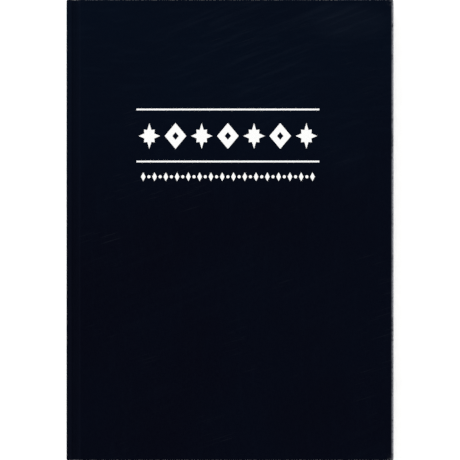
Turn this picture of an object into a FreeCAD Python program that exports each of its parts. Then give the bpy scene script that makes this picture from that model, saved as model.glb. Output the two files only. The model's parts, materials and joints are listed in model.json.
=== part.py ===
import FreeCAD, Part
import math
import os

# A4 case-bound logbook lying on its back cover.
# +Z points out of the front cover, +Y to the head of the book, the spine is at -X.
# The origin is the middle of the outer face of the back cover. All lengths are in mm.

# ---- whole book ----
book_width = 215.0
book_height = 303.0
edge_radius = 1.0

# ---- layers, from the outside of a cover inwards ----
cloth = 0.30
board = 2.40
turned_in_layer = 0.30
endpaper = 0.15

# ---- text block: folded sheets, nested four at a time and sewn through the fold ----
signature_count = 8
sheets_in_signature = 4
leaf_pitch = 0.125
leaf_thickness = 0.120
signature_thickness = 2 * sheets_in_signature * leaf_pitch
square = 3.0
page_height = book_height - 2 * square

book_thickness = 2 * (cloth + board + turned_in_layer + 2 * endpaper)
book_thickness += signature_count * signature_thickness

# ---- distances measured from the outside of the spine towards the fore-edge ----
spine_board_inner = 2.20
mull_thickness = 0.30
kraft_outer = 2.25
mull_outer = 2.45
glue_outer = 2.75
fold_line = 3.0
hinge_line = 4.0
leaf_cut = 3.98
groove_edge = 9.0
page_edge = book_width - square

# ---- cloth and lining ----
turn_in = 15.0
flange_width = 25.0
groove_bend = 1.1
spine_drop = 0.30
lining_half_length = book_height / 2 - turn_in
glue_half_length = page_height / 2 - 1.5

# ---- head and tail bands ----
band_bead_radius = 0.8
band_tongue = 10.5

# ---- sewing ----
thread_width = 0.18
thread_outer = 2.80
fold_inside = fold_line + sheets_in_signature * leaf_pitch + 0.02
stitch_half_gap = 25.0
stitch_reach = 75.0
kettle_reach = 130.0

# ---- foil stamping on the front cover ----
foil_thickness = 0.03
foil_depth = 0.05
stamp_centre = book_width / 2 - 1.4
rule_length = 120.2
rule_width = 1.15
upper_rule_y = 79.2
lower_rule_y = 45.0
title_y = 61.8
title_height = 17.0
title_length = 117.4
title_motifs = 7
title_motif_width = 14.2
border_y = 35.0
border_height = 5.8
border_length = 114.3
border_lozenges = 16
border_lozenge_width = 3.1
border_bead_radius = 1.05

# ---- levels of the front cover, counted up from the table ----
front_top = book_thickness
board_top = front_top - cloth
board_bottom = board_top - board
turned_in_bottom = board_bottom - turned_in_layer
pastedown_bottom = turned_in_bottom - endpaper
block_top = pastedown_bottom - endpaper
block_bottom = book_thickness - block_top


def across(distance_from_spine):
    """X position of a point given its distance from the outside of the spine."""
    return distance_from_spine - book_width / 2


def slab(near, far, low_y, high_y, bottom, top):
    corner = FreeCAD.Vector(across(near), low_y, bottom)
    return Part.makeBox(far - near, high_y - low_y, top - bottom, corner)


def long_slab(near, far, half_length, bottom, top):
    return slab(near, far, -half_length, half_length, bottom, top)


def on_back(shape):
    """The same piece on the back cover."""
    middle = FreeCAD.Vector(0, 0, book_thickness / 2)
    return shape.mirror(middle, FreeCAD.Vector(0, 0, 1))


def rounded(block, radius, straight_x):
    """Round every edge of a block except those lying in the plane x = straight_x."""
    edges = []
    for edge in block.Edges:
        box = edge.BoundBox
        flat_on_plane = abs(box.XMin - straight_x) < 1e-6 and abs(box.XMax - straight_x) < 1e-6
        if not flat_on_plane:
            edges.append(edge)
    return block.makeFillet(radius, edges)


def joined(shapes):
    first = shapes[0]
    if len(shapes) == 1:
        return first
    return first.multiFuse(shapes[1:]).removeSplitter()


def both_ends(make_end):
    """Pieces made for the head (+1) and the tail (-1)."""
    return [make_end(1), make_end(-1)]


# ---------------------------------------------------------------- covers

def cover_board():
    half = book_height / 2 - cloth
    block = long_slab(groove_edge, book_width - cloth, half, board_bottom, board_top)
    return rounded(block, edge_radius - cloth, across(groove_edge))


def cover_cloth(pressed_shapes):
    """Cloth over the board, turned in on three sides; the foil is pressed into its face."""
    wrapped = long_slab(groove_edge, book_width, book_height / 2, turned_in_bottom, front_top)
    wrapped = rounded(wrapped, edge_radius, across(groove_edge))
    window_edge = book_width - turn_in
    window = long_slab(groove_edge, window_edge, lining_half_length, turned_in_bottom, board_bottom)
    shape = wrapped.cut(cover_board()).cut(window)
    if pressed_shapes:
        shape = shape.cut(Part.makeCompound(pressed_shapes))
    return shape


def cover_mull_flange():
    far = groove_edge + flange_width
    return long_slab(groove_edge, far, lining_half_length, turned_in_bottom, board_bottom)


def cover_pastedown():
    """Endpaper leaf glued inside the cover; it sinks to the board between the turn-ins."""
    half = page_height / 2
    near = groove_edge + flange_width
    far = book_width - turn_in
    sheet = long_slab(groove_edge, page_edge, half, pastedown_bottom, turned_in_bottom)
    raised = long_slab(near, far, lining_half_length, turned_in_bottom, board_bottom)
    hollow = long_slab(near + endpaper, far - endpaper, lining_half_length - endpaper,
                       pastedown_bottom, board_bottom - endpaper)
    return sheet.fuse(raised).removeSplitter().cut(hollow)


# ---------------------------------------------------------------- flexible joints

def edge_along_y_at(edge, distance, level):
    box = edge.BoundBox
    same_x = abs(box.XMin - across(distance)) < 1e-6 and abs(box.XMax - across(distance)) < 1e-6
    same_z = abs(box.ZMin - level) < 1e-6 and abs(box.ZMax - level) < 1e-6
    return same_x and same_z


def joint_cloth():
    """Covering cloth pressed down into the groove between spine and board."""
    half = book_height / 2
    floor_top = board_bottom + cloth
    outer = long_slab(spine_board_inner, groove_edge, half, board_bottom, front_top)
    channel = long_slab(spine_board_inner + cloth, groove_edge - cloth, half, floor_top, front_top)
    spine_side = long_slab(spine_board_inner, spine_board_inner + cloth, half,
                           front_top - spine_drop, front_top)
    trough = outer.cut(channel).cut(spine_side)
    below = [e for e in trough.Edges
             if edge_along_y_at(e, spine_board_inner, board_bottom)
             or edge_along_y_at(e, groove_edge, board_bottom)]
    trough = trough.makeFillet(groove_bend, below)
    inside = [e for e in trough.Edges
              if edge_along_y_at(e, spine_board_inner + cloth, floor_top)
              or edge_along_y_at(e, groove_edge - cloth, floor_top)]
    trough = trough.makeFillet(groove_bend - cloth, inside)

    def turned_end(side):
        ends = sorted([side * half, side * (half - turn_in)])
        return slab(spine_board_inner + groove_bend, groove_edge - groove_bend,
                    ends[0], ends[1], turned_in_bottom, board_bottom)

    return joined([trough] + both_ends(turned_end))


def joint_mull():
    return long_slab(mull_outer, groove_edge, lining_half_length, turned_in_bottom, board_bottom)


def joint_endpaper():
    return long_slab(fold_line, groove_edge, page_height / 2, pastedown_bottom, turned_in_bottom)


# ---------------------------------------------------------------- spine

def spine_board():
    half = book_height / 2 - cloth
    low = spine_drop + cloth
    block = long_slab(cloth, spine_board_inner, half, low, book_thickness - low)
    return rounded(block, edge_radius - cloth, across(spine_board_inner))


def spine_cloth():
    half = book_height / 2
    wrapped = long_slab(0, spine_board_inner, half, spine_drop, book_thickness - spine_drop)
    wrapped = rounded(wrapped, edge_radius, across(spine_board_inner))
    shell = wrapped.cut(spine_board())
    low = book_thickness - turned_in_bottom

    def turned_end(side):
        ends = sorted([side * (half - edge_radius), side * (half - turn_in)])
        return slab(spine_board_inner, spine_board_inner + cloth, ends[0], ends[1],
                    low, turned_in_bottom)

    def end_bridge(side):
        """Cloth over the end of the spine board, down to the turned-in end."""
        ends = sorted([side * half, side * (half - cloth)])
        return slab(spine_board_inner - edge_radius, spine_board_inner + cloth,
                    ends[0], ends[1], low, turned_in_bottom)

    def end_lap(side):
        ends = sorted([side * half, side * (half - edge_radius)])
        return slab(spine_board_inner, spine_board_inner + cloth, ends[0], ends[1],
                    low, turned_in_bottom)

    pieces = [shell] + both_ends(turned_end) + both_ends(end_bridge) + both_ends(end_lap)
    return joined(pieces)


def kraft_lining():
    return long_slab(kraft_outer, mull_outer, lining_half_length, block_bottom, block_top)


def mull_spine():
    low = book_thickness - turned_in_bottom
    return long_slab(mull_outer, glue_outer, lining_half_length, low, turned_in_bottom)


def spine_glue(thread):
    low = book_thickness - turned_in_bottom
    layer = long_slab(glue_outer, fold_line, glue_half_length, low, turned_in_bottom)
    return layer.cut(thread)


def end_band(side):
    """Woven band: a bead over the end of the text block and a tongue glued to its spine."""
    page_end = page_height / 2
    centre = FreeCAD.Vector(across(mull_outer + 0.05 + band_bead_radius),
                            side * (page_end + band_bead_radius), block_bottom)
    height = block_top - block_bottom
    bead = Part.makeCylinder(band_bead_radius, height, centre)
    ends = sorted([side * (page_end + band_bead_radius), side * (page_end - band_tongue)])
    tongue = slab(mull_outer + 0.05, glue_outer, ends[0], ends[1], block_bottom, block_top)
    return joined([bead, tongue])


# ---------------------------------------------------------------- sewing

def signature_top(number):
    return block_top - (number - 1) * signature_thickness


def signature_middle(number):
    return signature_top(number) - signature_thickness / 2


def thread_run(near, far, low_y, high_y, low_z, high_z):
    half = thread_width / 2
    return slab(near, far, low_y - half, high_y + half, low_z - half, high_z + half)


def thread_of_signature(number):
    """One signature's stitches: three long ones in the fold, two outside on the spine."""
    level = signature_middle(number)
    inside = fold_inside
    outside = thread_outer
    stations = [-kettle_reach, -stitch_reach, -stitch_half_gap,
                stitch_half_gap, stitch_reach, kettle_reach]
    runs = []
    for index in range(len(stations) - 1):
        near = inside if index % 2 == 0 else outside
        runs.append(thread_run(near, near + thread_width, stations[index],
                               stations[index + 1], level, level))
    for station in stations:
        runs.append(thread_run(outside, inside + thread_width, station, station, level, level))
    return joined(runs)


def sewing_thread():
    """The whole sewing, with a kettle stitch linking the signatures at each end."""
    runs = [thread_of_signature(n) for n in range(1, signature_count + 1)]
    lowest = signature_middle(signature_count)
    highest = signature_middle(1)
    for y in (-kettle_reach, kettle_reach):
        runs.append(thread_run(thread_outer, thread_outer + thread_width, y, y, lowest, highest))
    return joined(runs)


# ---------------------------------------------------------------- pages

def folded_sheet(number, place):
    """One sheet folded in two; place 0 is the outermost of its signature."""
    top = signature_top(number) - place * leaf_pitch
    bottom = signature_top(number) - signature_thickness + place * leaf_pitch
    near = fold_line + place * leaf_pitch
    half = page_height / 2
    outer = long_slab(near, page_edge, half, bottom, top)
    inner = long_slab(near + leaf_thickness, page_edge, half,
                      bottom + leaf_thickness, top - leaf_thickness)
    return outer.cut(inner)


def signature(number, thread):
    """A group of nested sheets, pierced by their own sewing."""
    sheets = []
    for place in range(sheets_in_signature):
        sheets.append(folded_sheet(number, place).cut(thread))
    return sheets


def opened_signature(thread):
    """The first signature: its four front leaves turn, so only their folds stay here."""
    front_leaves = long_slab(leaf_cut, page_edge, page_height / 2,
                             signature_middle(1), signature_top(1))
    return [sheet.cut(front_leaves) for sheet in signature(1, thread)]


def turning_leaf(place):
    top = signature_top(1) - place * leaf_pitch
    return long_slab(hinge_line, page_edge, page_height / 2, top - leaf_thickness, top)


def front_flyleaf():
    return long_slab(hinge_line, page_edge, page_height / 2, block_top, pastedown_bottom)


def front_endpaper_stub():
    return long_slab(fold_line, leaf_cut, page_height / 2, block_top, pastedown_bottom)


def back_flyleaf():
    return on_back(long_slab(fold_line, page_edge, page_height / 2, block_top, pastedown_bottom))


# ---------------------------------------------------------------- foil stamping

def stamped(outline, thickness):
    face = Part.Face(Part.makePolygon(outline + [outline[0]]))
    return face.extrude(FreeCAD.Vector(0, 0, thickness))


def foil_point(x, y):
    return FreeCAD.Vector(across(stamp_centre) + x, y, front_top - foil_depth)


def rule(y, thickness):
    half = rule_length / 2
    edge = rule_width / 2
    corners = [(-half, y - edge), (half, y - edge), (half, y + edge), (-half, y + edge)]
    return stamped([foil_point(a, b) for a, b in corners], thickness)


def lozenge(x, y, width, height, thickness):
    corners = [(x, y + height / 2), (x + width / 2, y), (x, y - height / 2), (x - width / 2, y)]
    return stamped([foil_point(a, b) for a, b in corners], thickness)


def compass_star(x, y, width, height, thickness):
    """Eight-pointed star with long points on the axes and short ones between."""
    long_point = 1.0
    short_point = 0.70
    waist = 0.50
    outline = []
    for step in range(16):
        if step % 2 == 1:
            reach = waist
        elif step % 4 == 2:
            reach = short_point
        else:
            reach = long_point
        angle = math.radians(22.5 * step)
        outline.append(foil_point(x + reach * width / 2 * math.cos(angle),
                                  y + reach * height / 2 * math.sin(angle)))
    return stamped(outline, thickness)


def pierced_lozenge(x, y, width, height, thickness):
    hole = lozenge(x, y, width * 0.30, height * 0.30, thickness)
    return lozenge(x, y, width, height, thickness).cut(hole)


def foil_rules(thickness):
    return [rule(upper_rule_y, thickness), rule(lower_rule_y, thickness)]


def foil_title(thickness):
    """A row of compass stars and lozenges between the two rules."""
    pitch = (title_length - title_motif_width) / (title_motifs - 1)
    first = -(title_length - title_motif_width) / 2
    shapes = []
    for index in range(title_motifs):
        motif = compass_star if index % 2 == 0 else pierced_lozenge
        shapes.append(motif(first + index * pitch, title_y, title_motif_width,
                            title_height, thickness))
    return shapes


def foil_border(thickness):
    """A fine row of lozenges and beads under the lower rule."""
    pitch = (border_length - border_lozenge_width) / (border_lozenges - 1)
    first = -(border_length - border_lozenge_width) / 2
    shapes = []
    for index in range(border_lozenges):
        x = first + index * pitch
        shapes.append(lozenge(x, border_y, border_lozenge_width, border_height, thickness))
        if index < border_lozenges - 1:
            centre = foil_point(x + pitch / 2, border_y)
            shapes.append(Part.makeCylinder(border_bead_radius, thickness, centre))
    return shapes


# ---------------------------------------------------------------- all the pieces

def front_cover_pieces():
    pressed = foil_rules(foil_depth) + foil_title(foil_depth) + foil_border(foil_depth)
    return {
        "front_board": [cover_board()],
        "front_cover_cloth": [cover_cloth(pressed)],
        "front_mull_flange": [cover_mull_flange()],
        "front_pastedown": [cover_pastedown()],
        "foil_rules": foil_rules(foil_thickness),
        "foil_title_ornament": foil_title(foil_thickness),
        "foil_border_ornament": foil_border(foil_thickness),
    }


def back_cover_pieces():
    return {
        "back_board": [on_back(cover_board())],
        "back_cover_cloth": [on_back(cover_cloth([]))],
        "back_mull_flange": [on_back(cover_mull_flange())],
        "back_pastedown": [on_back(cover_pastedown())],
    }


def joint_pieces():
    return {
        "front_joint_cloth": [joint_cloth()],
        "front_joint_mull": [joint_mull()],
        "front_joint_endpaper": [joint_endpaper()],
        "back_joint_cloth": [on_back(joint_cloth())],
        "back_joint_mull": [on_back(joint_mull())],
        "back_joint_endpaper": [on_back(joint_endpaper())],
    }


def spine_pieces(thread):
    return {
        "spine_board": [spine_board()],
        "spine_cloth": [spine_cloth()],
        "kraft_lining": [kraft_lining()],
        "mull_spine": [mull_spine()],
        "spine_glue": [spine_glue(thread)],
        "head_band": [end_band(1)],
        "tail_band": [end_band(-1)],
        "sewing_thread": [thread],
    }


def page_pieces(thread):
    pieces = {
        "front_endpaper_stub": [front_endpaper_stub()],
        "front_flyleaf": [front_flyleaf()],
        "back_flyleaf": [back_flyleaf()],
        "signature_1": opened_signature(thread),
    }
    for number in range(2, signature_count + 1):
        pieces["signature_" + str(number)] = signature(number, thread)
    for place in range(sheets_in_signature):
        pieces["leaf_" + str(place + 1)] = [turning_leaf(place)]
    return pieces


def write_node(name, shapes):
    shape = shapes[0] if len(shapes) == 1 else Part.makeCompound(shapes)
    shape.exportStep("parts/" + name + ".step")


def build():
    os.makedirs("parts", exist_ok=True)
    thread = sewing_thread()
    pieces = {}
    pieces.update(front_cover_pieces())
    pieces.update(back_cover_pieces())
    pieces.update(joint_pieces())
    pieces.update(spine_pieces(thread))
    pieces.update(page_pieces(thread))
    for name in sorted(pieces):
        write_node(name, pieces[name])


build()
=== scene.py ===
import json
import math
import random

import bpy
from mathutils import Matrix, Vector


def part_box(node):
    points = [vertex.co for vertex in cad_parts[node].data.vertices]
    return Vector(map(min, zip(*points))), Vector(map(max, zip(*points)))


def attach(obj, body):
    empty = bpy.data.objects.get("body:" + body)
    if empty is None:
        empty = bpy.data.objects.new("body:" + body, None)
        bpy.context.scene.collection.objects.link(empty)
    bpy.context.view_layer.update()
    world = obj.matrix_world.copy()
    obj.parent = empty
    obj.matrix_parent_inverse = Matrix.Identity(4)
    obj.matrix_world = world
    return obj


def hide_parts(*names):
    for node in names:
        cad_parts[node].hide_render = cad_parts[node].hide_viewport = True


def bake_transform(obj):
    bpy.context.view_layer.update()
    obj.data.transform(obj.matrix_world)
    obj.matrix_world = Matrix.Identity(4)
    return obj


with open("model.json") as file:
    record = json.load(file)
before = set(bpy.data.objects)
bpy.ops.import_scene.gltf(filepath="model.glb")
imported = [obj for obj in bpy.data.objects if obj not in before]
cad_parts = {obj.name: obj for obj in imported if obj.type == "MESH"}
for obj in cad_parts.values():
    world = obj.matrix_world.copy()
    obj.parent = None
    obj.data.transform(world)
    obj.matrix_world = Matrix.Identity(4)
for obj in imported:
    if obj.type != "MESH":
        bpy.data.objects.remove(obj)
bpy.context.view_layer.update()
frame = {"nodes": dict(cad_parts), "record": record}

random.seed(7)
MM = 0.001

# ------------------------------------------------------------------ places taken from the frame
cover_low, cover_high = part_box("front_cover_cloth")
spine_low, spine_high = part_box("spine_cloth")
groove_low, groove_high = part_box("front_joint_cloth")
mull_low, mull_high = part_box("front_joint_mull")
page_low, page_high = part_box("signature_8")
flyleaf_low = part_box("front_flyleaf")[0]
pastedown_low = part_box("front_pastedown")[0]
hinge_paper_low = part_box("front_joint_endpaper")[0]
flange_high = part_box("front_mull_flange")[1]

book_top = cover_high.z
book_left = spine_low.x
book_right = cover_high.x
book_head = cover_high.y
middle_z = book_top / 2
fold_x = hinge_paper_low.x
hinge_x = flyleaf_low.x
board_x = cover_low.x
page_edge_x = page_high.x
page_head = page_high.y

# ------------------------------------------------------------------ sizes
TURN_IN = 15 * MM
COVER_ROUNDING = 1.0 * MM
CLOTH_THICKNESS = 0.30 * MM
LEAF_PITCH = 0.125 * MM
LEAF_THICKNESS = 0.115 * MM
LEAVES_A_SIDE = 4
FOLD_REACH = LEAVES_A_SIDE * LEAF_PITCH
SIGNATURES = 8

turned_in_x = book_right - TURN_IN
turned_in_y = book_head - TURN_IN
flat_x = fold_x + FOLD_REACH


# ------------------------------------------------------------------ front and back
def mirrored(z):
    """The same height on the back half of the book."""
    return book_top - z


def heights_on_side(low, high, on_back):
    """The two heights of a front piece as they are, or mirrored to the back half."""
    if on_back:
        return (lambda x, y: mirrored(high(x, y))), (lambda x, y: mirrored(low(x, y)))
    return low, high


# ------------------------------------------------------------------ mesh helpers
def smoothstep(low, high, value):
    t = min(1.0, max(0.0, (value - low) / (high - low)))
    return t * t * (3 - 2 * t)


def spaced(low, high, count):
    return [low + (high - low) * i / (count - 1) for i in range(count)]


def both_halves(half):
    """Rows over the whole height from those of the head half, which start at the middle."""
    return [-y for y in reversed(half[1:])] + half


def make_object(name, vertices, faces, material, sharp_degrees=35):
    """A mesh object; "rest" keeps each point's place so that patterns bend with the piece."""
    mesh = bpy.data.meshes.new(name)
    mesh.from_pydata([tuple(v) for v in vertices], [], faces)
    mesh.validate()
    mesh.polygons.foreach_set("use_smooth", [True] * len(mesh.polygons))
    mesh.set_sharp_from_angle(angle=math.radians(sharp_degrees))
    rest = mesh.attributes.new("rest", "FLOAT_VECTOR", "POINT")
    flat = [c for v in mesh.vertices for c in v.co]
    rest.data.foreach_set("vector", flat)
    mesh.materials.append(material)
    piece = bpy.data.objects.new(name, mesh)
    bpy.context.scene.collection.objects.link(piece)
    return piece


def lofted(loops):
    """Vertices and faces of a solid through closed loops of equal length, with closed ends.
    Each loop is an upper chain followed by the lower chain backwards."""
    vertices = []
    faces = []
    size = len(loops[0])
    for loop in loops:
        vertices.extend(loop)
    for row in range(len(loops) - 1):
        a = row * size
        b = a + size
        for i in range(size):
            j = (i + 1) % size
            faces.append((a + i, a + j, b + j, b + i))
    last = (len(loops) - 1) * size
    for upper in range(size // 2 - 1):
        lower = size - 1 - upper
        faces.append((upper, lower, lower - 1, upper + 1))
        faces.append((last + upper, last + upper + 1, last + lower - 1, last + lower))
    return vertices, faces


def grid_solid(name, xs, ys, low, high, material, on_back):
    """A thin solid over a grid. The two heights depend on the place and are those of the
    front piece; the piece on the back is its mirror image."""
    low, high = heights_on_side(low, high, on_back)
    loops = []
    for y in ys:
        upper = [Vector((x, y, high(x, y))) for x in xs]
        lower = [Vector((x, y, low(x, y))) for x in reversed(xs)]
        loops.append(upper + lower)
    vertices, faces = lofted(loops)
    return make_object(name, vertices, faces, material)


def swept_sheet(paths, ys, thickness):
    """Vertices and faces of a sheet; paths gives its middle line in x and z at each y."""
    loops = []
    for path, y in zip(paths, ys):
        upper = []
        lower = []
        for i, (x, z) in enumerate(path):
            before = path[max(i - 1, 0)]
            after = path[min(i + 1, len(path) - 1)]
            run = Vector((after[0] - before[0], after[1] - before[1]))
            run.normalize()
            side = Vector((-run.y, run.x)) * thickness / 2
            upper.append(Vector((x + side.x, y, z + side.y)))
            lower.append(Vector((x - side.x, y, z - side.y)))
        loops.append(upper + lower[::-1])
    return lofted(loops)


def merged(parts):
    """Several (vertices, faces) as one."""
    vertices = []
    faces = []
    for some_vertices, some_faces in parts:
        start = len(vertices)
        vertices.extend(some_vertices)
        faces.extend(tuple(i + start for i in face) for face in some_faces)
    return vertices, faces


# ------------------------------------------------------------------ material helpers
LINE_SOFTNESS = 0.02 * MM


class Nodes:
    """A small wrapper that writes a node tree from plain calls."""

    def __init__(self, name, from_rest=False):
        """Patterns follow the "rest" places of a new piece, or the coordinates of a CAD node."""
        self.material = bpy.data.materials.new(name)
        self.material.use_nodes = True
        self.tree = self.material.node_tree
        self.shader = next(n for n in self.tree.nodes if n.type == "BSDF_PRINCIPLED")
        if from_rest:
            node = self.tree.nodes.new("ShaderNodeAttribute")
            node.attribute_name = "rest"
            self.place = node.outputs["Vector"]
        else:
            node = self.tree.nodes.new("ShaderNodeTexCoord")
            self.place = node.outputs["Object"]

    def link(self, value, socket):
        if isinstance(value, bpy.types.NodeSocket):
            self.tree.links.new(value, socket)
        else:
            socket.default_value = value

    def math(self, operation, a, b=0.0):
        node = self.tree.nodes.new("ShaderNodeMath")
        node.operation = operation
        self.link(a, node.inputs[0])
        self.link(b, node.inputs[1])
        return node.outputs[0]

    def chained(self, operation, values):
        result = values[0]
        for value in values[1:]:
            result = self.math(operation, result, value)
        return result

    def plus(self, *values):
        return self.chained("ADD", values)

    def times(self, *values):
        return self.chained("MULTIPLY", values)

    def most(self, *values):
        return self.chained("MAXIMUM", values)

    def minus(self, a, b):
        return self.math("SUBTRACT", a, b)

    def size_of(self, value):
        return self.math("ABSOLUTE", value)

    def zigzag(self, value, height):
        """Runs up and down between 0 and the height."""
        return self.math("PINGPONG", value, height)

    def axis(self, index):
        node = self.tree.nodes.new("ShaderNodeSeparateXYZ")
        self.link(self.place, node.inputs[0])
        return node.outputs[index]

    def mapped(self, scale=(1, 1, 1), turn=0.0, shift=(0, 0, 0)):
        """The place turned about z, then stretched and shifted."""
        place = self.place
        if turn:
            turned = self.tree.nodes.new("ShaderNodeMapping")
            turned.inputs["Rotation"].default_value = (0, 0, turn)
            self.link(place, turned.inputs["Vector"])
            place = turned.outputs[0]
        node = self.tree.nodes.new("ShaderNodeMapping")
        node.inputs["Scale"].default_value = scale
        node.inputs["Location"].default_value = shift
        self.link(place, node.inputs["Vector"])
        return node.outputs[0]

    def noise(self, vector, scale, detail, roughness):
        node = self.tree.nodes.new("ShaderNodeTexNoise")
        self.link(vector, node.inputs["Vector"])
        node.inputs["Scale"].default_value = scale
        node.inputs["Detail"].default_value = detail
        node.inputs["Roughness"].default_value = roughness
        return node.outputs["Fac"]

    def ramp(self, value, low, high, to_low=0.0, to_high=1.0):
        node = self.tree.nodes.new("ShaderNodeMapRange")
        node.interpolation_type = "SMOOTHSTEP"
        for v, socket in zip((value, low, high, to_low, to_high), node.inputs):
            self.link(v, socket)
        return node.outputs[0]

    def mix(self, share, a, b):
        node = self.tree.nodes.new("ShaderNodeMix")
        node.data_type = "RGBA"
        self.link(share, node.inputs[0])
        for value, socket in ((a, node.inputs[6]), (b, node.inputs[7])):
            self.link(value if isinstance(value, bpy.types.NodeSocket) else (*value, 1), socket)
        return node.outputs[2]

    def under(self, gap, half_width, softness=LINE_SOFTNESS):
        """1 where the gap is less than half a line's width, with soft edges."""
        return self.ramp(gap, half_width - softness, half_width + softness, 1.0, 0.0)

    def line_at(self, value, centre, half_width, softness=LINE_SOFTNESS):
        """1 on a thin line at value = centre."""
        return self.under(self.size_of(self.minus(value, centre)), half_width, softness)

    def every(self, value, start, pitch, half_width):
        """1 on evenly spaced thin lines."""
        return self.under(self.zigzag(self.minus(value, start), pitch / 2), half_width)

    def inside(self, value, low, high):
        above = self.math("GREATER_THAN", value, low)
        return self.times(above, self.math("LESS_THAN", value, high))

    def colour(self, value):
        self.link(value, self.shader.inputs["Base Color"])

    def rough(self, value):
        self.link(value, self.shader.inputs["Roughness"])

    def bump(self, height, strength, distance):
        node = self.tree.nodes.new("ShaderNodeBump")
        node.inputs["Strength"].default_value = strength
        node.inputs["Distance"].default_value = distance
        self.link(height, node.inputs["Height"])
        self.link(node.outputs[0], self.shader.inputs["Normal"])

    def finish(self, roughness, specular, sheen=0.0, sheen_roughness=0.5):
        self.shader.inputs["Roughness"].default_value = roughness
        self.shader.inputs["Specular IOR Level"].default_value = specular
        self.shader.inputs["Sheen Weight"].default_value = sheen
        self.shader.inputs["Sheen Roughness"].default_value = sheen_roughness
        return self.material


# ------------------------------------------------------------------ book cloth
CLOTH_DEEP = (0.00145, 0.0015, 0.0045)
# paler blotches, and painted light that brightens the cloth towards the head
CLOTH_PALE_AND_LIT = (0.0013, 0.0034, 0.0090)
# painted highlight on the raised thread tops of the weave
CLOTH_THREAD_HIGHLIGHTS = (0.0046, 0.0062, 0.0112)
CLOTH_STREAKED = (0.0052, 0.0092, 0.0185)
CLOTH_WIPED = (0.0088, 0.0130, 0.0225)
CLOTH_SCRATCHED = (0.014, 0.017, 0.024)
# paler flexed cloth in the groove, and painted highlights on the shoulders beside it
CLOTH_FLEXED_AND_HIGHLIT = (0.0120, 0.0150, 0.0300)
# pale rubbed wear at the corners and ends; along the fore-edge it is also a painted highlight
CLOTH_WORN_AND_HIGHLIT = (0.27, 0.28, 0.31)
CLOTH_SPECULAR_TINT = (0.30, 0.50, 1.0, 1.0)
CLOTH_SHEEN_TINT = (0.35, 0.50, 1.0, 1.0)
GRAIN_SCALE = 2600.0
HEAD_PART = 80 * MM
PATCH_IN_FROM_FORE_EDGE = 30 * MM
PATCH_DOWN_FROM_HEAD = 15 * MM
PATCH_HALF_WIDTH = 34 * MM
PATCH_HALF_HEIGHT = 15 * MM
ARRIS = 1.0 * MM
RUBBED_CORNER = 5 * MM


def book_cloth(name, from_rest):
    """Navy book cloth: weave with painted highlights on the thread tops, painted light that brightens it
    towards the head, handling marks, flexed joints with painted highlights on their shoulders, and
    rubbed edges with a painted highlight along the fore-edge.
    """
    n = Nodes(name, from_rest)
    x, y, z = (n.axis(i) for i in range(3))
    warp = n.noise(n.mapped((1, 0.12, 1)), 2400.0, detail=2.0, roughness=0.5)
    weft = n.noise(n.mapped((0.12, 1, 1)), 2400.0, detail=2.0, roughness=0.5)
    weave = n.plus(warp, weft)
    cloudy = n.noise(n.place, 14.0, detail=4.0, roughness=0.55)
    base = cloth_ground(n, y, weave, cloudy)
    wiped, base = cloth_wiping(n, x, y, z, base)
    base = n.mix(n.times(cloth_scratches(n), 0.32), base, CLOTH_SCRATCHED)
    base = n.mix(cloth_flexing_and_highlights(n, x), base, CLOTH_FLEXED_AND_HIGHLIT)
    n.colour(n.mix(cloth_wear_and_highlight(n, x, y, z), base, CLOTH_WORN_AND_HIGHLIT))
    n.rough(n.ramp(n.plus(cloudy, n.times(wiped, -0.3)), 0.2, 0.8, 0.62, 0.80))
    grain = n.noise(n.place, GRAIN_SCALE, detail=3.0, roughness=0.6)
    n.bump(n.plus(n.times(grain, 0.6), weave), strength=0.7, distance=0.08 * MM)
    n.shader.inputs["Specular Tint"].default_value = CLOTH_SPECULAR_TINT
    n.shader.inputs["Sheen Tint"].default_value = CLOTH_SHEEN_TINT
    return n.finish(roughness=0.6, specular=0.03, sheen=0.012, sheen_roughness=0.4)


def cloth_ground(n, y, weave, cloudy):
    """Dyed ground: deep navy with paler blotches, painted light that makes it brighter and bluer to the
    head, painted highlights on the thread tops, and streaky patches.
    """
    # painted light: the cloth is coloured brighter and bluer towards the head
    lit_to_head = n.ramp(y, -20 * MM, 130 * MM)
    blotch = n.ramp(cloudy, 0.3, 0.7, 0.0, 0.30)
    base = n.mix(n.plus(n.times(lit_to_head, 0.70), blotch), CLOTH_DEEP, CLOTH_PALE_AND_LIT)
    # painted highlight: the high points of the weave are coloured paler
    threads = n.ramp(weave, 0.75, 1.25)
    base = n.mix(n.times(threads, 0.20), base, CLOTH_THREAD_HIGHLIGHTS)
    across = n.noise(n.mapped((35, 260, 1)), 1.0, detail=3.0, roughness=0.55)
    along = n.noise(n.mapped((240, 30, 1), shift=(7, 2, 0)), 1.0, detail=3.0, roughness=0.55)
    streaks = n.ramp(n.mix(n.ramp(y, 20 * MM, HEAD_PART), along, across), 0.50, 0.72)
    return n.mix(n.times(streaks, n.ramp(y, 0.0, HEAD_PART, 0.045, 0.12)), base, CLOTH_STREAKED)


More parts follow.
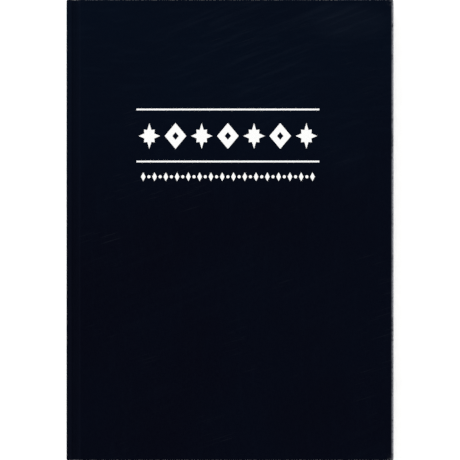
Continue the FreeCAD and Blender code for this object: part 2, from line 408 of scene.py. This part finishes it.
def cloth_wiping(n, x, y, z, base):
    """Diagonal wiped marks in places, mostly in one patch near the head's outer corner."""
    strokes = n.noise(n.mapped((16, 250, 1), turn=-0.38), 1.0, detail=4.0, roughness=0.62)
    places = n.noise(n.mapped(shift=(2, 9, 0)), 11.0, detail=2.0, roughness=0.5)
    off_x = n.math("DIVIDE", n.minus(x, book_right - PATCH_IN_FROM_FORE_EDGE), PATCH_HALF_WIDTH)
    off_y = n.math("DIVIDE", n.minus(y, book_head - PATCH_DOWN_FROM_HEAD), PATCH_HALF_HEIGHT)
    apart = n.plus(n.times(off_x, off_x), n.times(off_y, off_y))
    on_front = n.math("GREATER_THAN", z, middle_z)
    patch = n.times(n.ramp(apart, 0.0, 1.0, 1.0, 0.0), on_front)
    handled = n.times(n.ramp(places, 0.50, 0.66), n.ramp(y, 0.0, HEAD_PART, 0.16, 0.7))
    wiped = n.times(n.ramp(strokes, 0.46, 0.68), n.most(handled, patch))
    base = n.mix(n.times(wiped, 0.26), base, CLOTH_WIPED)
    return wiped, n.mix(n.times(patch, 0.13), base, CLOTH_WIPED)


def cloth_scratches(n):
    fine = n.noise(n.mapped((30, 1500, 1), turn=-0.30), 1.0, detail=2.0, roughness=0.5)
    places = n.noise(n.mapped(shift=(3, 5, 0)), 24.0, detail=2.0, roughness=0.5)
    return n.times(n.ramp(fine, 0.64, 0.72), n.ramp(places, 0.53, 0.63))


def cloth_flexing_and_highlights(n, x):
    """Where opening the covers has paled the cloth in the groove, with painted highlights on the
    shoulders on its two sides.
    """
    from_spine = n.ramp(x, groove_low.x - 0.6 * MM, groove_low.x + 0.8 * MM)
    to_board = n.ramp(x, groove_high.x - 0.8 * MM, groove_high.x + 0.6 * MM, 1.0, 0.0)
    groove = n.times(from_spine, to_board)
    # painted highlights on the spine's shoulder and the board's shoulder of the groove
    spine_shoulder_highlight = n.line_at(x, groove_low.x - 0.5 * MM, 0.5 * MM, 0.3 * MM)
    board_shoulder_highlight = n.line_at(x, groove_high.x - 0.4 * MM, 0.6 * MM, 0.4 * MM)
    return n.most(n.times(groove, 0.10), n.times(spine_shoulder_highlight, 0.08),
                  n.times(board_shoulder_highlight, 0.10))


def cloth_wear_and_highlight(n, x, y, z):
    """Where the cloth is rubbed pale: the outer corners, and thinly along the edges of the boards; along
    the fore-edge the pale strip is wear and a painted highlight on the rounded arris.
    """
    rub = n.noise(n.place, 420.0, detail=4.0, roughness=0.65)
    long_rub = n.noise(n.mapped(shift=(4, 4, 1)), 55.0, detail=3.0, roughness=0.6)
    patchy = n.plus(rub, long_rub)
    to_end = n.size_of(y)
    to_face = n.size_of(n.minus(z, middle_z))
    arris = n.ramp(to_face, middle_z - ARRIS, middle_z - 0.15 * MM)
    # the fore-edge strip is partly wear and partly a painted highlight on the rounded arris
    fore = n.times(n.ramp(x, book_right - 1.8 * MM, book_right - 0.3 * MM), arris,
                   n.ramp(patchy, 0.75, 1.10, 0.25, 0.90))
    ends = n.times(n.ramp(to_end, book_head - 0.22 * MM, book_head), arris,
                   n.ramp(patchy, 0.90, 1.25, 0.0, 0.30))
    corner = n.times(n.ramp(x, book_right - RUBBED_CORNER, book_right - 0.5 * MM),
                     n.ramp(to_end, book_head - RUBBED_CORNER, book_head - 0.5 * MM),
                     n.ramp(rub, 0.45, 0.65, 0.0, 0.35))
    return n.most(fore, ends, corner)


# ------------------------------------------------------------------ foil and paper
FOIL_WHITE = (0.97, 0.97, 0.965)
FOIL_DULL = (0.74, 0.75, 0.77)
PAGE_TINT = (0.76, 0.745, 0.695)
ENDPAPER_TINT = (0.76, 0.75, 0.715)
YELLOWED = (0.90, 0.86, 0.76)
TONED_MARGIN = 6 * MM

INNER_MARGIN = 17 * MM
OUTER_MARGIN = 11 * MM
END_MARGIN = 13 * MM
REMARKS_HEIGHT = 74 * MM
HEADING_HEIGHT = 17 * MM
ROW_HEIGHT = 7.4 * MM
THIN_LINE = 0.09 * MM
BOLD_LINE = 0.19 * MM
COLUMNS = (0.10, 0.22, 0.34, 0.44, 0.54, 0.66, 0.78)
SUB_COLUMNS_FROM = 0.66
SUB_COLUMN_PITCH = 0.03
HEADING_BLUE = (0.30, 0.42, 0.58)
LINE_BLUE = (0.16, 0.24, 0.38)
FRAME_BLUE = (0.09, 0.15, 0.28)


def foil():
    """White foil: takes the cloth's grain, with faint mottling."""
    n = Nodes("white_foil")
    grain = n.noise(n.place, GRAIN_SCALE, detail=3.0, roughness=0.6)
    mottle = n.noise(n.place, 900.0, detail=3.0, roughness=0.6)
    n.colour(n.mix(n.ramp(mottle, 0.60, 0.82, 0.0, 0.22), FOIL_WHITE, FOIL_DULL))
    n.rough(n.ramp(mottle, 0.3, 0.7, 0.38, 0.55))
    n.bump(grain, strength=0.25, distance=0.03 * MM)
    return n.finish(roughness=0.45, specular=0.3)


def paper(name, tint, ruled=False):
    """Uncoated paper with soft fibres; ruled pages carry the blank table of a log."""
    n = Nodes(name, from_rest=True)
    x, y = n.axis(0), n.axis(1)
    fibre = n.noise(n.mapped((1, 0.35, 1)), 1500.0, detail=4.0, roughness=0.6)
    cloudy = n.noise(n.place, 30.0, detail=3.0, roughness=0.5)
    uneven = n.ramp(n.plus(n.times(fibre, 0.5), n.times(cloudy, 0.5)), 0.35, 0.65)
    base = n.mix(uneven, tuple(c * 0.93 for c in tint), tint)
    toned_ends = n.ramp(n.size_of(y), page_head - TONED_MARGIN, page_head, 0.0, 0.25)
    toned_fore = n.ramp(x, page_edge_x - TONED_MARGIN, page_edge_x, 0.0, 0.25)
    toned = tuple(c * k for c, k in zip(tint, YELLOWED))
    base = n.mix(n.most(toned_ends, toned_fore), base, toned)
    if ruled:
        base = rule_page(n, x, y, base)
    n.colour(base)
    n.bump(fibre, strength=0.12, distance=0.02 * MM)
    return n.finish(roughness=0.82, specular=0.15)


def rule_page(n, x, y, base):
    """A log table: a heading row, columns and many rows, then open lines for remarks."""
    left, right = fold_x + INNER_MARGIN, page_edge_x - OUTER_MARGIN
    top, bottom = page_head - END_MARGIN, -page_head + END_MARGIN
    table_bottom = bottom + REMARKS_HEIGHT
    heading = top - HEADING_HEIGHT
    width = right - left
    across = n.inside(x, left, right)
    rows = n.times(n.every(y, heading, ROW_HEIGHT, THIN_LINE),
                   n.inside(y, table_bottom - THIN_LINE, heading), across)
    columns = n.most(*[n.line_at(x, left + width * share, THIN_LINE) for share in COLUMNS])
    columns = n.times(columns, n.inside(y, table_bottom, top))
    sub_columns = n.times(n.every(x, left, width * SUB_COLUMN_PITCH, THIN_LINE * 0.7),
                          n.inside(y, table_bottom, heading),
                          n.inside(x, left + width * SUB_COLUMNS_FROM, right))
    remarks = n.times(n.every(y, bottom, ROW_HEIGHT, THIN_LINE * 0.8),
                      n.inside(y, bottom, table_bottom - ROW_HEIGHT), across)
    frame_sides = n.most(*[n.line_at(x, at, BOLD_LINE) for at in (left, right)])
    frame_bars = n.most(*[n.line_at(y, at, BOLD_LINE) for at in (top, heading, table_bottom, bottom)])
    heading_band = n.times(n.inside(y, heading, top), across)
    base = n.mix(n.times(heading_band, 0.16), base, HEADING_BLUE)
    fine = n.most(rows, columns, remarks, n.times(sub_columns, 0.35))
    base = n.mix(n.times(fine, 0.62), base, LINE_BLUE)
    bold = n.most(n.times(frame_sides, n.inside(y, bottom, top)), n.times(frame_bars, across))
    return n.mix(n.times(bold, 0.8), base, FRAME_BLUE)


# ------------------------------------------------------------------ hidden materials of the binding
MULL_GAPS = (0.34, 0.30, 0.22)
MULL_THREADS = (0.70, 0.66, 0.56)
MULL_PITCH = 0.8 * MM
SILK_STITCH = 0.85 * MM
STITCH_SLANT = 0.35


def greyboard():
    n = Nodes("greyboard")
    fleck = n.noise(n.place, 900.0, detail=4.0, roughness=0.65)
    layers = n.noise(n.mapped((1, 1, 14)), 300.0, detail=2.0, roughness=0.5)
    base = n.mix(n.ramp(fleck, 0.35, 0.65), (0.17, 0.16, 0.145), (0.24, 0.225, 0.20))
    n.colour(n.mix(n.ramp(layers, 0.4, 0.7, 0.0, 0.3), base, (0.12, 0.11, 0.10)))
    n.bump(fleck, strength=0.3, distance=0.05 * MM)
    return n.finish(roughness=0.9, specular=0.1)


def woven_mull(name, from_rest):
    """Open plain weave; threads along x and y, or z on the spine."""
    n = Nodes(name, from_rest)
    x, y, z = (n.axis(i) for i in range(3))
    one_way = n.zigzag(n.plus(x, z), MULL_PITCH)
    other_way = n.zigzag(y, MULL_PITCH)
    threads = n.most(*[n.ramp(way, MULL_PITCH * 0.35, MULL_PITCH * 0.6) for way in (one_way, other_way)])
    fuzz = n.noise(n.place, 2500.0, detail=3.0, roughness=0.6)
    n.colour(n.mix(n.times(threads, n.ramp(fuzz, 0.2, 0.6, 0.7, 1.0)), MULL_GAPS, MULL_THREADS))
    n.bump(threads, strength=0.6, distance=0.1 * MM)
    return n.finish(roughness=0.9, specular=0.1, sheen=0.1)


def kraft():
    n = Nodes("kraft_paper")
    fibre = n.noise(n.mapped((1, 0.2, 1)), 900.0, detail=4.0, roughness=0.6)
    n.colour(n.mix(n.ramp(fibre, 0.3, 0.7), (0.26, 0.16, 0.085), (0.36, 0.24, 0.14)))
    n.bump(fibre, strength=0.2, distance=0.03 * MM)
    return n.finish(roughness=0.85, specular=0.15)


def glue():
    n = Nodes("dried_glue")
    drips = n.noise(n.place, 350.0, detail=3.0, roughness=0.5)
    n.colour(n.mix(n.ramp(drips, 0.35, 0.65), (0.62, 0.58, 0.46), (0.75, 0.72, 0.62)))
    n.rough(n.ramp(drips, 0.3, 0.7, 0.3, 0.6))
    n.bump(drips, strength=0.3, distance=0.1 * MM)
    return n.finish(roughness=0.45, specular=0.4)


def thread(from_rest):
    n = Nodes("linen_thread_" + str(int(from_rest)), from_rest)
    ply = n.noise(n.mapped((1, 0.3, 1)), 5000.0, detail=3.0, roughness=0.6)
    n.colour(n.mix(n.ramp(ply, 0.3, 0.7), (0.60, 0.57, 0.50), (0.82, 0.80, 0.74)))
    n.bump(ply, strength=0.4, distance=0.05 * MM)
    return n.finish(roughness=0.8, specular=0.2, sheen=0.15)


def end_band_silk():
    """Alternating navy and white stitches round the bead."""
    n = Nodes("end_band_silk", from_rest=True)
    y, z = n.axis(1), n.axis(2)
    slanted = n.plus(z, n.times(n.size_of(y), STITCH_SLANT))
    stripe = n.ramp(n.zigzag(slanted, SILK_STITCH), 0.36 * MM, 0.49 * MM)
    strand = n.noise(n.mapped((1, 1, 3)), 3500.0, detail=3.0, roughness=0.6)
    white = n.mix(n.ramp(strand, 0.3, 0.7), (0.62, 0.62, 0.60), (0.82, 0.82, 0.80))
    navy = n.mix(n.ramp(strand, 0.3, 0.7), (0.010, 0.018, 0.050), (0.022, 0.035, 0.085))
    n.colour(n.mix(stripe, white, navy))
    n.bump(strand, strength=0.3, distance=0.04 * MM)
    return n.finish(roughness=0.5, specular=0.3, sheen=0.2)


# ------------------------------------------------------------------ materials on the CAD nodes
cloth_on_nodes = book_cloth("book_cloth", False)
cloth_on_pieces = book_cloth("book_cloth_joint", True)
white_foil = foil()
page_paper = paper("page_paper", PAGE_TINT, ruled=True)
plain_paper = paper("endpaper", ENDPAPER_TINT)
board_grey = greyboard()
mull_on_nodes = woven_mull("mull", False)
mull_on_pieces = woven_mull("mull_joint", True)
kraft_brown = kraft()
glue_clear = glue()
thread_on_nodes = thread(False)
thread_on_pieces = thread(True)
band_silk = end_band_silk()

slot_finish = {
    "cover_cloth": cloth_on_nodes,
    "foil": white_foil,
    "greyboard": board_grey,
    "endpaper": plain_paper,
    "page_paper": page_paper,
    "mull": mull_on_nodes,
    "kraft": kraft_brown,
    "glue": glue_clear,
    "thread": thread_on_nodes,
    "end_band": band_silk,
}
for part in frame["record"]["subparts"]:
    node = frame["nodes"][part["node"]]
    node.data.materials.clear()
    node.data.materials.append(slot_finish[part["material_slot"]])


# ------------------------------------------------------------------ joint cloth
GROOVE_LOWEST_SHARE = 0.47
GROOVE_FLAT_SHARE = 0.30
GROOVE_GAP = 0.40 * MM
JOINT_CLOTH_THICKNESS = 0.36 * MM
TURNED_IN_THICKNESS = 0.26 * MM
TURN_IN_STEP = 0.4 * MM
RIM_ROUNDING = 0.28 * MM
ROUNDING_MARGIN = 1.8 * MM
THINNEST_CLOTH = 0.05 * MM
FLOOR_GAP = 0.02 * MM
CLOSED_FROM_SPINE = 2.6 * MM
CLOSED_FROM_BOARD = 2.0 * MM
RIPPLE_MARGIN = 1.5 * MM
LONG_RIPPLE = 0.05 * MM
FINE_RIPPLE = 0.03 * MM
JOINT_COLUMNS = 33
ROWS_TO_TURN_IN = 12


def groove_height(x):
    """Outer surface of the cloth from the spine's edge to the board's edge."""
    left, right = groove_low.x, groove_high.x
    lowest = left + GROOVE_LOWEST_SHARE * (right - left)
    valley = cover_low.z + CLOTH_THICKNESS + GROOVE_GAP
    side, level = (left, spine_high.z) if x < lowest else (right, book_top)
    share = smoothstep(GROOVE_FLAT_SHARE, 1.0, (x - lowest) / (side - lowest))
    return valley + (level - valley) * share


def from_joint_side(x):
    return min(x - groove_low.x, groove_high.x - x)


def joint_ripple(x, y):
    """The pressed cloth is slightly uneven in the groove, and true where it meets the covers."""
    settle = smoothstep(0, RIPPLE_MARGIN, from_joint_side(x))
    return settle * (LONG_RIPPLE * math.sin(y / 0.023) + FINE_RIPPLE * math.sin(y / 0.0091 + 1))


def end_rounding(x):
    """As round as the covers where it meets them, thin and sharper down in the groove."""
    in_groove = smoothstep(0, ROUNDING_MARGIN, from_joint_side(x))
    return COVER_ROUNDING + (RIM_ROUNDING - COVER_ROUNDING) * in_groove


def rounded_drop(y, radius):
    """How far a rounded end has fallen at y."""
    over = max(0.0, (abs(y) - (book_head - radius)) / radius)
    return radius * (1 - math.sqrt(max(0.0, 1 - over * over)))


def joint_cloth_top(x, y):
    return groove_height(x) + joint_ripple(x, y) - rounded_drop(y, end_rounding(x))


def joint_cloth_bottom(x, y):
    """Under the turned-in ends a second layer runs level to the board and closes its edge."""
    turned_in = smoothstep(turned_in_y, turned_in_y + TURN_IN_STEP, abs(y))
    thickness = JOINT_CLOTH_THICKNESS + TURNED_IN_THICKNESS * turned_in
    floor = cover_low.z + FLOOR_GAP
    bottom = max(groove_height(x) + joint_ripple(x, y) - thickness, floor)
    closed = turned_in * smoothstep(groove_low.x + CLOSED_FROM_SPINE,
                                    groove_high.x - CLOSED_FROM_BOARD, x)
    bottom += (floor - bottom) * closed + rounded_drop(y, RIM_ROUNDING)
    return min(bottom, joint_cloth_top(x, y) - THINNEST_CLOTH)


def build_joint_cloth(name, on_back, node):
    xs = spaced(groove_low.x, groove_high.x, JOINT_COLUMNS)
    half = [turned_in_y * i / ROWS_TO_TURN_IN for i in range(ROWS_TO_TURN_IN + 1)]
    half += [turned_in_y + step for step in (TURN_IN_STEP, 5 * MM, 10 * MM)]
    half += [book_head - COVER_ROUNDING * (1 - math.sin(math.radians(a))) for a in range(0, 91, 10)]
    piece = grid_solid(name, xs, both_halves(half), joint_cloth_bottom, joint_cloth_top,
                       cloth_on_pieces, on_back)
    level = groove_height(hinge_x)
    if on_back:
        level = mirrored(level)
    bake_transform(piece)
    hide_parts(node)


build_joint_cloth("front_joint_cloth_soft", False, "front_joint_cloth")
build_joint_cloth("back_joint_cloth_soft", True, "back_joint_cloth")


# ------------------------------------------------------------------ mull over the joints
MULL_CLEARANCE = 0.03 * MM


def build_joint_mull(name, on_back, node):
    xs = spaced(mull_low.x, mull_high.x, count=15)
    ys = spaced(mull_low.y, mull_high.y, count=9)
    low_z, high_z = mull_low.z + MULL_CLEARANCE, mull_high.z - MULL_CLEARANCE
    piece = grid_solid(name, xs, ys, lambda x, y: low_z, lambda x, y: high_z, mull_on_pieces, on_back)
    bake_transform(piece)
    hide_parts(node)


build_joint_mull("front_joint_mull_soft", False, "front_joint_mull")
build_joint_mull("back_joint_mull_soft", True, "back_joint_mull")


# ------------------------------------------------------------------ pastedowns
HINGE_COLUMN = 0.4 * MM
PAST_HINGE = 2 * MM
PAGE_ROWS = 15
PASTEDOWN_THICKNESS = 0.15 * MM
DIP_DEPTH = 0.27 * MM
DIP_EDGE = 0.5 * MM


def hinge_columns(start, far, coarse):
    """Closely spaced columns over the hinge, then a few wide ones to the far edge."""
    reach = board_x + PAST_HINGE
    count = int((reach - start) / HINGE_COLUMN) + 2
    return spaced(start, reach, count) + spaced(reach, far, coarse)[1:]


def around_step(place):
    """Closely spaced lines over a step in the layers below."""
    return [place + DIP_EDGE * k for k in (-2, -1, 0, 1, 2)]


def past_step(value, place):
    return smoothstep(place - DIP_EDGE, place + DIP_EDGE, value)


def pastedown_height(x, y):
    """It dips to the board between the mull flange and the turned-in cloth edges."""
    along = past_step(x, flange_high.x) * (1 - past_step(x, turned_in_x))
    return pastedown_low.z + DIP_DEPTH * along * (1 - past_step(abs(y), turned_in_y))


def build_pastedown(name, on_back, nodes):
    """Glued inside the cover, and carried over the hinge to the fold."""
    xs = hinge_columns(fold_x, flange_high.x - 4 * MM, coarse=4)
    xs += around_step(flange_high.x)
    xs += spaced(flange_high.x + 8 * MM, turned_in_x - 8 * MM, count=7)
    xs += around_step(turned_in_x) + [page_edge_x - 6 * MM, page_edge_x]
    half = [0.0] + spaced(20 * MM, turned_in_y - 6 * MM, count=6)
    half += around_step(turned_in_y) + [page_head - 5 * MM, page_head]
    piece = grid_solid(name, xs, both_halves(half), pastedown_height,
                       lambda x, y: pastedown_height(x, y) + PASTEDOWN_THICKNESS,
                       plain_paper, on_back)
    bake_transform(piece)
    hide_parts(*nodes)


build_pastedown("front_pastedown_sheet", False, ["front_pastedown", "front_joint_endpaper"])
build_pastedown("back_pastedown_sheet", True, ["back_pastedown", "back_joint_endpaper"])


# ------------------------------------------------------------------ leaves and signatures
FOLD_STEPS = 5
SHEET_COLUMNS = 7
FLYLEAF_THICKNESS = 0.13 * MM
FLYLEAF_TRIM = 0.05 * MM
FLYLEAF_LIFT = 0.01 * MM
SWELL_FROM_HINGE = 10 * MM
LONG_SWELL = 0.10 * MM
FINE_SWELL = 0.06 * MM


def settled(x, y, z):
    """The stack of pages is never quite flat: one gentle swell shared by every leaf."""
    low, high = page_low.z, flyleaf_low.z
    share = min(1.0, max(0.0, (z - low) / (high - low)))
    out = smoothstep(hinge_x + SWELL_FROM_HINGE, page_edge_x, x)
    swell = LONG_SWELL * math.sin(y / 0.047 + 0.6) + FINE_SWELL * math.sin(y / 0.019 + 2.0)
    return z + math.sin(math.pi * share) * out * swell


def half_sheet(level, direction, place, over_hinge):
    """Middle line of one leaf: a quarter turn out of the fold, then flat to the fore-edge,
    which has a random trim. Place counts the sheets from the outside of the signature."""
    radius = FOLD_REACH - place * LEAF_PITCH - LEAF_PITCH / 2
    trim = random.uniform(-0.10, 0.04) * MM
    path = []
    for i in range(FOLD_STEPS + 1):
        angle = math.pi / 2 * i / FOLD_STEPS
        path.append((flat_x - radius * math.cos(angle), level + direction * radius * math.sin(angle)))
    if over_hinge:
        columns = hinge_columns(flat_x, page_edge_x, SHEET_COLUMNS)
    else:
        columns = spaced(flat_x, page_edge_x, SHEET_COLUMNS)
    flat = level + direction * radius
    path += [(x, flat) for x in columns[1:-1]]
    path.append((page_edge_x + trim, flat))
    return path


def random_head_shift():
    return random.uniform(-0.05, 0.05) * MM


def sheet_geometry(path, head_shift):
    ys = spaced(-page_head + head_shift, page_head + head_shift, PAGE_ROWS)
    paths = [[(x, settled(x, y, z)) for x, z in path] for y in ys]
    return swept_sheet(paths, ys, LEAF_THICKNESS)


def build_leaf(place, level):
    """A front leaf of the first signature: bends out of the fold."""
    path = half_sheet(level, 1, place, True)
    vertices, faces = sheet_geometry(path, random_head_shift())
    name = "leaf_" + str(place + 1)
    piece = make_object(name + "_sheet", vertices, faces, page_paper)
    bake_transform(piece)
    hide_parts(name)


def build_signature(number, only_back):
    """Nested folded sheets, or only their back leaves where the front ones turn on their own.
    Returns the height of the fold."""
    name = "signature_" + str(number)
    low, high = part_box(name)
    level = low.z + FOLD_REACH if only_back else high.z - FOLD_REACH
    parts = []
    for place in range(LEAVES_A_SIDE):
        shift = random_head_shift()
        path = half_sheet(level, -1, place, False)
        if not only_back:
            front = half_sheet(level, 1, place, False)
            path = path[::-1] + front[1:]
        parts.append(sheet_geometry(path, shift))
    vertices, faces = merged(parts)
    piece = make_object(name + "_sheets", vertices, faces, page_paper)
    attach(piece, "text_block")
    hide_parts(name)
    return level


def build_flyleaf(name, on_back, nodes):
    """The back one stays on the block."""
    xs = hinge_columns(fold_x, page_edge_x - FLYLEAF_TRIM, SHEET_COLUMNS)
    ys = spaced(-page_head, page_head, PAGE_ROWS)
    level = flyleaf_low.z + FLYLEAF_LIFT
    piece = grid_solid(name, xs, ys, lambda x, y: level, lambda x, y: level + FLYLEAF_THICKNESS,
                       plain_paper, on_back)
    if on_back:
        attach(piece, "text_block")
    else:
        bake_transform(piece)
    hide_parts(*nodes)


first_level = build_signature(1, True)
for place in range(LEAVES_A_SIDE):
    build_leaf(place, first_level)
for number in range(2, SIGNATURES + 1):
    build_signature(number, False)
build_flyleaf("front_flyleaf_sheet", False, ["front_flyleaf", "front_endpaper_stub"])
build_flyleaf("back_flyleaf_sheet", True, ["back_flyleaf"])


# ------------------------------------------------------------------ sewing in the open signature
STITCHES_MM = ((-130, -75), (-25, 25), (75, 130))
THREAD_RADIUS = 0.13 * MM
PLY_OFFSET_SHARE = 0.5
PLY_RADIUS_SHARE = 0.62
TWISTS_PER_MM = 0.9
STEPS_PER_TWIST = 8
PLY_SIDES = 8
THINNEST_END = 0.15
END_GROWTH = 6
STITCH_FROM_FOLD = 0.62 * MM
FINE_SHARP_DEGREES = 60


def round_thread(start, end, twists):
    """Two plies twisted round each other, drawn in at the ends."""
    parts = []
    steps = int(twists * STEPS_PER_TWIST)
    for ply in range(2):
        loops = []
        for i in range(steps + 1):
            share = i / steps
            angle = 2 * math.pi * twists * share + math.pi * ply
            taper = min(1.0, END_GROWTH * math.sin(math.pi * share) + THINNEST_END)
            middle = start.lerp(end, share)
            middle += Vector((math.cos(angle), 0, math.sin(angle))) * THREAD_RADIUS * PLY_OFFSET_SHARE
            ring = []
            for k in range(PLY_SIDES):
                a = 2 * math.pi * k / PLY_SIDES
                out = Vector((math.cos(a), 0, -math.sin(a)))
                ring.append(middle + out * THREAD_RADIUS * PLY_RADIUS_SHARE * taper)
            loops.append(ring)
        parts.append(lofted(loops))
    return merged(parts)


def build_centre_stitches():
    at_x = fold_x + STITCH_FROM_FOLD
    stitches = []
    for near, far in STITCHES_MM:
        start = Vector((at_x, near * MM, first_level))
        end = Vector((at_x, far * MM, first_level))
        stitches.append(round_thread(start, end, (far - near) * TWISTS_PER_MM))
    vertices, faces = merged(stitches)
    piece = make_object("centre_stitches", vertices, faces, thread_on_pieces, FINE_SHARP_DEGREES)
    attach(piece, "text_block")


build_centre_stitches()


# ------------------------------------------------------------------ end bands
BEAD_RADIUS = 0.80 * MM
BEAD_RINGS = 97
BEAD_SIDES = 20
STITCH_RIDGE = 0.05
TONGUE_THICKNESS = 0.25 * MM
TONGUE_LENGTH = 10.5 * MM


def bead_ring(centre_x, centre_y, z):
    """A ring round the bead, with slanted ridges where the silk goes round."""
    ring = []
    for k in range(BEAD_SIDES):
        angle = 2 * math.pi * k / BEAD_SIDES
        slanted = z + STITCH_SLANT * abs(centre_y + BEAD_RADIUS * math.sin(angle))
        ridge = 1 + STITCH_RIDGE * math.cos(2 * math.pi * slanted / (SILK_STITCH / 2))
        radius = BEAD_RADIUS * (1 - STITCH_RIDGE) * ridge
        ring.append(Vector((centre_x + radius * math.cos(angle),
                            centre_y + radius * math.sin(angle), z)))
    return ring


def build_end_band(name, node, side):
    """A bead over the end of the pages, worked with silk, on a tongue glued to the spine."""
    low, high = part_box(node)
    centre_x = low.x + BEAD_RADIUS
    centre_y = side * (page_head + BEAD_RADIUS)
    bead = [bead_ring(centre_x, centre_y, z) for z in spaced(low.z, high.z, BEAD_RINGS)]
    first, last = sorted([centre_y, side * (page_head - TONGUE_LENGTH)])
    tongue = []
    for y in spaced(first, last, count=5):
        inner_x = low.x + TONGUE_THICKNESS
        tongue.append([Vector((low.x, y, high.z)), Vector((inner_x, y, high.z)),
                       Vector((inner_x, y, low.z)), Vector((low.x, y, low.z))])
    vertices, faces = merged([lofted(bead), lofted(tongue)])
    piece = make_object(name, vertices, faces, band_silk, FINE_SHARP_DEGREES)
    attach(piece, "text_block")
    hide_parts(node)


build_end_band("head_band_silk", "head_band", 1)
build_end_band("tail_band_silk", "tail_band", -1)


# ------------------------------------------------------------------ studio
FLOOR_HALF_SIZE = 30.0
FLOOR_UNDER_BOOK = 0.1 * MM
FLOOR_GLOW = 0.46
DOME_STRENGTH_LOW = 0.56
DOME_STRENGTH_ABOVE = 0.10
LENS = 200.0
SENSOR_WIDTH = 36.0
FRAME_FILL = 0.9975


def floor_finish():
    n = Nodes("studio_floor")
    soft = n.noise(n.place, 3.0, detail=2.0, roughness=0.5)
    n.colour(n.mix(n.ramp(soft, 0.3, 0.7), (0.89, 0.89, 0.89), (0.91, 0.91, 0.91)))
    n.shader.inputs["Emission Color"].default_value = (1, 1, 1, 1)
    n.shader.inputs["Emission Strength"].default_value = FLOOR_GLOW
    return n.finish(roughness=0.95, specular=0.0)


def build_floor():
    """A pale floor just under the book."""
    half = FLOOR_HALF_SIZE
    z = -FLOOR_UNDER_BOOK
    mesh = bpy.data.meshes.new("floor")
    corners = [(-half, -half, z), (half, -half, z), (half, half, z), (-half, half, z)]
    mesh.from_pydata(corners, [], [(0, 1, 2, 3)])
    mesh.materials.append(floor_finish())
    floor = bpy.data.objects.new("floor", mesh)
    bpy.context.scene.collection.objects.link(floor)


def build_world():
    """Soft studio dome: bright all round, darker straight above."""
    world = bpy.data.worlds.new("studio")
    bpy.context.scene.world = world
    world.use_nodes = True
    tree = world.node_tree
    background = tree.nodes["Background"]
    place = tree.nodes.new("ShaderNodeTexCoord")
    split = tree.nodes.new("ShaderNodeSeparateXYZ")
    tree.links.new(place.outputs["Generated"], split.inputs[0])
    ring = tree.nodes.new("ShaderNodeMapRange")
    ring.interpolation_type = "SMOOTHSTEP"
    ring.inputs["From Min"].default_value = 0.72
    ring.inputs["From Max"].default_value = 0.97
    ring.inputs["To Min"].default_value = DOME_STRENGTH_LOW
    ring.inputs["To Max"].default_value = DOME_STRENGTH_ABOVE
    tree.links.new(split.outputs[2], ring.inputs["Value"])
    tree.links.new(ring.outputs[0], background.inputs["Strength"])
    background.inputs["Color"].default_value = (1.0, 1.0, 1.0, 1.0)


def add_light(name, place, size, power):
    """A square lamp that looks at the book."""
    light = bpy.data.lights.new(name, "AREA")
    light.shape = "SQUARE"
    light.size = size
    light.energy = power
    lamp = bpy.data.objects.new(name, light)
    bpy.context.scene.collection.objects.link(lamp)
    lamp.location = place
    lamp.rotation_mode = "QUATERNION"
    lamp.rotation_quaternion = (-Vector(place)).to_track_quat("-Z", "Y")


def build_camera():
    """Straight above the cover, far off with a long lens; the book fills the frame's height."""
    data = bpy.data.cameras.new("camera")
    data.lens = LENS
    data.sensor_width = SENSOR_WIDTH
    distance = (cover_high.y - cover_low.y) * FRAME_FILL * data.lens / data.sensor_width
    camera = bpy.data.objects.new("camera", data)
    bpy.context.scene.collection.objects.link(camera)
    camera.location = ((book_left + book_right) / 2, 0, book_top + distance)
    data.clip_start, data.clip_end = 0.05, 100
    bpy.context.scene.camera = camera


build_floor()
build_world()
add_light("key", (-4.2, 3.6, 5.0), size=3.0, power=330)
add_light("side", (5.5, 0.5, 2.4), size=3.0, power=200)
build_camera()
bpy.context.scene.view_settings.view_transform = "Standard"
